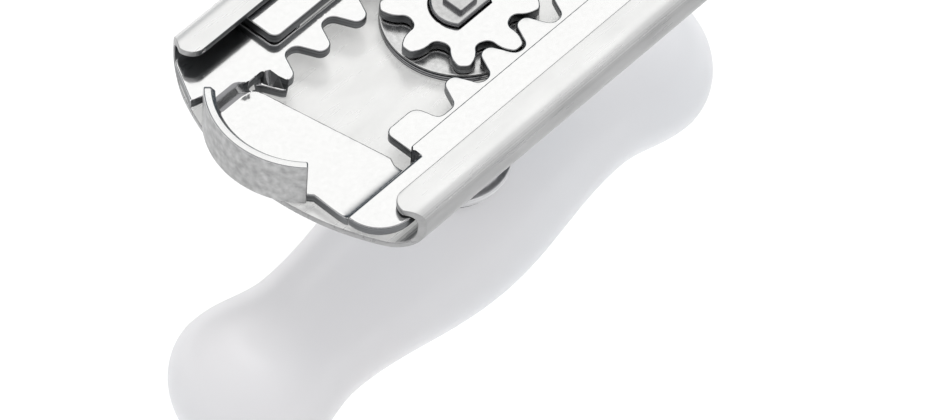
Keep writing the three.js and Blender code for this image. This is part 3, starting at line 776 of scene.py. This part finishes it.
def lip_wall():
    """The upright lip: a section of corners swept round the lip's arc, with its inner top edge chamfered."""
    top = span("near_jaw")[1].z
    inner = LIP_RADIUS - PLATE
    section = rounded([
        (LIP_RADIUS, LEVEL_1, 0.35),
        (LIP_RADIUS, top, 0.25),
        (LIP_RADIUS - 1.0, top, 0.15),
        (inner, top - 0.7, 0.2),
        (inner, LEVEL_1, 0),
    ], 0.08)
    bm = bmesh.new()
    rows = []
    steps = 64
    ends = [(0.0, 0.2), (0.06, 0.06), (0.2, 0.0)]
    turns = [(LIP_FROM + a / LIP_RADIUS, drop) for a, drop in ends]
    turns += [(LIP_FROM + (LIP_TO - LIP_FROM) * i / steps, 0.0) for i in range(2, steps - 1)]
    turns += [(LIP_TO - a / LIP_RADIUS, drop) for a, drop in reversed(ends)]
    for angle, drop in turns:
        moved = inset(section, drop) if drop else section
        rows.append([
            bm.verts.new((LIP_CENTRE[0] + r * math.cos(angle), LIP_CENTRE[1] + r * math.sin(angle), z))
            for r, z in moved
        ])
    for a, b in zip(rows, rows[1:]):
        for k in range(len(section)):
            j = (k + 1) % len(section)
            bm.faces.new((a[k], a[j], b[j], b[k]))
    bm.faces.new(rows[0][::-1])
    bm.faces.new(rows[-1])
    return bm


def jaw():
    """The near jaw: its formed sheet and its lip."""
    extra = []
    for i in range(60):
        x = JAW_END_X - 1.5 + i * 0.3
        for j in range(12):
            extra.append((x, RACK_STEP_Y - 0.1 + j * 0.17))
            extra.append((x, -ARM_STEP_Y + 0.5 - j * 0.22))
    for i in range(26):
        for j in range(6):
            extra.append((JAW_END_X + i * 0.45, -FOOT_START - j * 0.4))
    return join(stamping(jaw_outline(), [], jaw_height, PLATE, extra=extra), lip_wall(), 1)


jaw_steels = [jaw_steel, lip_steel]
new_piece("jaw_near", jaw(), "near_slider", ["near_jaw"], jaw_steels, 50)
new_piece("jaw_far", half_turn(jaw()), "far_slider", ["far_jaw"], jaw_steels, 50)

# ---------------------------------------------------------------- pinion, disc, shaft

HEAD_RADIUS = 4.0
FLAT_Y = -2.6
HEAD_GAP = 0.15
SHAFT_RADIUS, THREAD_RADIUS, THREAD_TOP = 3.5, 2.4, 12.5
DISC_BORE, GROOVE_DEPTH, GROOVE_HALF = 3.65, 0.14, 0.12
TENON_HALF, TENON_HEIGHT = 1.7, 0.8
PINION_ROOT_ROUND, PINION_TIP_ROUND = 1.25, 0.85


def involute(angle):
    """The involute of a pressure angle."""
    return math.tan(angle) - angle


def tooth_half_angle(radius):
    """Half the angle that a pinion tooth fills at a radius."""
    base = PITCH_RADIUS * math.cos(PRESSURE)
    at_pitch = (PITCH / 2 - BACKLASH / 2) / (2 * PITCH_RADIUS)
    local = math.acos(base / radius) if radius > base else 0
    return at_pitch + involute(PRESSURE) - involute(local)


def pinion_outline():
    """The toothed outline, with round tooth spaces and eased crests."""
    half = [(ROOT_RADIUS, 1.13 * tooth_half_angle(8.1), PINION_ROOT_ROUND)]
    half += [(radius, tooth_half_angle(radius), 0) for radius in (8.3, 9.0, 9.6)]
    half += [(TIP_RADIUS, tooth_half_angle(TIP_RADIUS), PINION_TIP_ROUND)]
    corners = []
    for tooth in range(TEETH):
        centre = 2 * math.pi * tooth / TEETH
        for radius, angle, fillet in half:
            corners.append((radius * math.cos(centre - angle), radius * math.sin(centre - angle), fillet))
        for radius, angle, fillet in reversed(half):
            corners.append((radius * math.cos(centre + angle), radius * math.sin(centre + angle), fillet))
    return resample(clean(rounded(corners, 0.2)), 0.4)


def d_outline(radius, flat):
    """A circle cut off by a flat across its lower side."""
    cut_off = math.acos(-flat / radius)
    begin = -math.pi / 2 + cut_off
    return arc((0, 0), radius, begin, begin + 2 * math.pi - 2 * cut_off, 48)


def flat_height(z):
    """A height for every point of a flat plate."""
    return lambda x, y: z


d_hole = d_outline(HEAD_RADIUS + HEAD_GAP, FLAT_Y - HEAD_GAP)
gear = stamping(pinion_outline(), [d_hole], flat_height(LEVEL_2), PLATE, 0.2, 1.3)
new_piece("gear", gear, "knob_drive", ["pinion"], jaw_steel)

low, high = span("thrust_disc")
grooves = [(DISC_BORE, low.z), (high.x - 0.25, low.z), (high.x, low.z + 0.25)]
for level in (0.55, 0.95):
    grooves += [
        (high.x, low.z + level - GROOVE_HALF),
        (high.x - GROOVE_DEPTH, low.z + level),
        (high.x, low.z + level + GROOVE_HALF),
    ]
grooves += [(high.x, high.z - 0.25), (high.x - 0.08, high.z - 0.08)]
grooves += [(high.x - 0.3, high.z), (DISC_BORE, high.z)]
new_piece("disc", lathe(grooves), "knob_drive", ["thrust_disc"], disc_steel)

top = span("drive_shaft")[1].z
head = d_outline(HEAD_RADIUS, FLAT_Y)
shaft = stamping(head, [], flat_height(LEVEL_2), top - TENON_HEIGHT - LEVEL_2, 0.35, 1.2)
tenon = rounded([(TENON_HALF * a, TENON_HALF * b, 0.3) for a, b in ((-1, -1), (1, -1), (1, 1), (-1, 1))], 0.1)
join(shaft, stamping(tenon, [], flat_height(top - 1.1), 1.1, 0.2, 1.0))
bottom = span("drive_shaft")[0].z
stem = [(0, bottom), (THREAD_RADIUS - 0.3, bottom), (THREAD_RADIUS, bottom + 0.3), (THREAD_RADIUS, THREAD_TOP)]
stem += [(SHAFT_RADIUS, THREAD_TOP + 0.1), (SHAFT_RADIUS, LEVEL_2 + 0.1), (0, LEVEL_2 + 0.1)]
join(shaft, lathe(stem, 64))
new_piece("shaft", shaft, "knob_drive", ["drive_shaft"], shaft_steel)

# ---------------------------------------------------------------- neck

low, high = span("neck_tube")
NECK_RIM, NECK_TOP, NECK_FLANGE, NECK_WALL = 8.2, 7.4, 11.0, 1.2
neck_profile = bead([
    (NECK_RIM - NECK_WALL, low.z), (NECK_RIM, low.z),
    (NECK_TOP, high.z - NECK_WALL), (NECK_FLANGE, high.z - NECK_WALL), (NECK_FLANGE, high.z),
    (NECK_TOP - NECK_WALL, high.z),
], 0.3)
new_piece("neck", lathe(neck_profile), "head", ["neck_tube"], neck_steel)
low, high = span("neck_collar")
bore = NECK_RIM - NECK_WALL
collar_profile = bead([(bore, low.z), (high.x, low.z), (high.x, high.z), (bore, high.z)], 0.35)
new_piece("collar", lathe(collar_profile), "head", ["neck_collar"], neck_steel)

# ---------------------------------------------------------------- knob

KNOB_MIDDLE, KNOB_WAIST, KNOB_LOBE = 12.6, 9.7, 11.5
KNOB_AXIS = 10.4
LOBE_LENGTH, WAIST_TO_LOBE = 10, 12


def knob_radius(x):
    """The knob's radius along its length: a full middle, two waists and two round lobes."""
    half = span("knob_shell")[1].x
    lobe_x = half - LOBE_LENGTH
    waist_x = lobe_x - WAIST_TO_LOBE
    s = abs(x)
    if s < waist_x:
        return KNOB_MIDDLE + (KNOB_WAIST - KNOB_MIDDLE) * (1 - math.cos(math.pi * s / waist_x)) / 2
    if s < lobe_x:
        share = (1 - math.cos(math.pi * (s - waist_x) / WAIST_TO_LOBE)) / 2
        return KNOB_WAIST + (KNOB_LOBE - KNOB_WAIST) * share
    t = (s - lobe_x) / LOBE_LENGTH
    return KNOB_LOBE * math.sqrt(max(0.0, 1 - t * t))


def knob_slice(z0, z1):
    """The part of the knob's body of revolution between two heights, as a solid."""
    half = span("knob_shell")[1].x
    profile = []
    stations = 140
    for i in range(stations + 1):
        x = -half * math.cos(math.pi * i / stations)
        profile.append((0 if i in (0, stations) else knob_radius(x), x))
    bm = lathe(profile, 128, "X", (0, 0, KNOB_AXIS))
    for z, sign in ((z0, -1), (z1, 1)):
        geometry = bm.verts[:] + bm.edges[:] + bm.faces[:]
        plane = {"plane_co": (0, 0, z), "plane_no": (0, 0, sign)}
        result = bmesh.ops.bisect_plane(bm, geom=geometry, clear_outer=True, **plane)
        cut = [e for e in result["geom_cut"] if isinstance(e, bmesh.types.BMEdge)]
        bmesh.ops.holes_fill(bm, edges=cut)
    return bm


low, high = span("knob_shell")
new_piece("knob", knob_slice(low.z, high.z), "knob_drive", ["knob_shell"], knob_plastic)
cover_low, cover_high = span("knob_cover")
new_piece("cover", knob_slice(cover_low.z, cover_high.z), "knob_drive", ["knob_cover"], knob_plastic)

# ---------------------------------------------------------------- carried CAD nodes

carried = {
    "floor_bush": bush_plastic, "upper_bush": bush_plastic,
    "lower_bush": bush_plastic, "slip_washer": bush_plastic,
    "knob_hub": shaft_steel, "hub_washer": shaft_steel, "hub_nut": shaft_steel,
    "cover_screw_near": shaft_steel, "cover_screw_far": shaft_steel,
}
for node, material in carried.items():
    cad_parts[node].data.materials.clear()
    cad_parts[node].data.materials.append(material)

# ---------------------------------------------------------------- studio

PANEL_HEIGHT, PANEL_EDGE, PANEL_CORE = math.radians(72), math.radians(43), math.radians(29)
PANEL_COLOR, CARD_COLOR, ROOM_COLOR = (1.04, 1.04, 1.03), (0.035, 0.05, 0.065), (0.33, 0.33, 0.34)
LAMPS = (("overhead", 0.2, True), ("fill", 1.55, False))  # name, energy, casts a shadow
LAMP_ANGLE = math.radians(50)
FLOOR_RADIUS = 4
FLOOR_DROP = 0.2
FLOOR_GLOW = 0.18


def studio():
    """A white floor, a large bright panel overhead, a dark card low behind the object, and two soft lamps.

    One lamp casts no shadow, so that the head's shadow on the knob stays faint.
    """
    world = bpy.data.worlds.new("studio")
    bpy.context.scene.world = world
    world.use_nodes = True
    nodes, links = world.node_tree.nodes, world.node_tree.links
    background = nodes["Background"]
    coords = nodes.new("ShaderNodeTexCoord")
    away = Vector((-to_camera.x, -to_camera.y, 0)).normalized()

    def facing(direction):
        node = nodes.new("ShaderNodeVectorMath")
        node.operation = "DOT_PRODUCT"
        node.inputs[1].default_value = direction
        links.new(coords.outputs["Generated"], node.inputs[0])
        return node.outputs["Value"]

    def eased(value, start, stop):
        node = nodes.new("ShaderNodeMapRange")
        node.interpolation_type = "SMOOTHSTEP"
        node.inputs["From Min"].default_value = start
        node.inputs["From Max"].default_value = stop
        links.new(value, node.inputs["Value"])
        return node.outputs["Result"]

    def color(value):
        node = nodes.new("ShaderNodeRGB")
        node.outputs[0].default_value = (*value, 1)
        return node.outputs[0]

    toward_panel = away * math.cos(PANEL_HEIGHT) + Vector((0, 0, math.sin(PANEL_HEIGHT)))
    panel = eased(facing(toward_panel), math.cos(PANEL_EDGE), math.cos(PANEL_CORE))
    behind = eased(facing(away), 0.15, 0.45)
    sky = blend_color(nodes, links, behind, color(ROOM_COLOR), color(CARD_COLOR))
    sky = blend_color(nodes, links, panel, sky, color(PANEL_COLOR))
    links.new(sky, background.inputs["Color"])
    background.inputs["Strength"].default_value = 1.0

    for name, energy, shadow in LAMPS:
        light = bpy.data.lights.new(name, "SUN")
        light.energy = energy
        light.angle = LAMP_ANGLE
        light.use_shadow = shadow
        lamp = bpy.data.objects.new(name, light)
        lamp.visible_glossy = False
        bpy.context.scene.collection.objects.link(lamp)

    bm = bmesh.new()
    bmesh.ops.create_circle(bm, cap_ends=True, radius=FLOOR_RADIUS, segments=64)
    mesh = bpy.data.meshes.new("floor")
    bm.to_mesh(mesh)
    bm.free()
    floor = bpy.data.objects.new("floor", mesh)
    floor.location.z = -FLOOR_DROP * MM
    bpy.context.scene.collection.objects.link(floor)
    material, _, _, shader = principled("floor", (0.9, 0.9, 0.9), 0.0, 0.9)
    shader.inputs["Emission Color"].default_value = (1, 1, 1, 1)
    shader.inputs["Emission Strength"].default_value = FLOOR_GLOW
    mesh.materials.append(material)
    floor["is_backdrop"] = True
    bpy.context.scene.view_settings.view_transform = "Standard"


studio()

low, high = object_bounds()
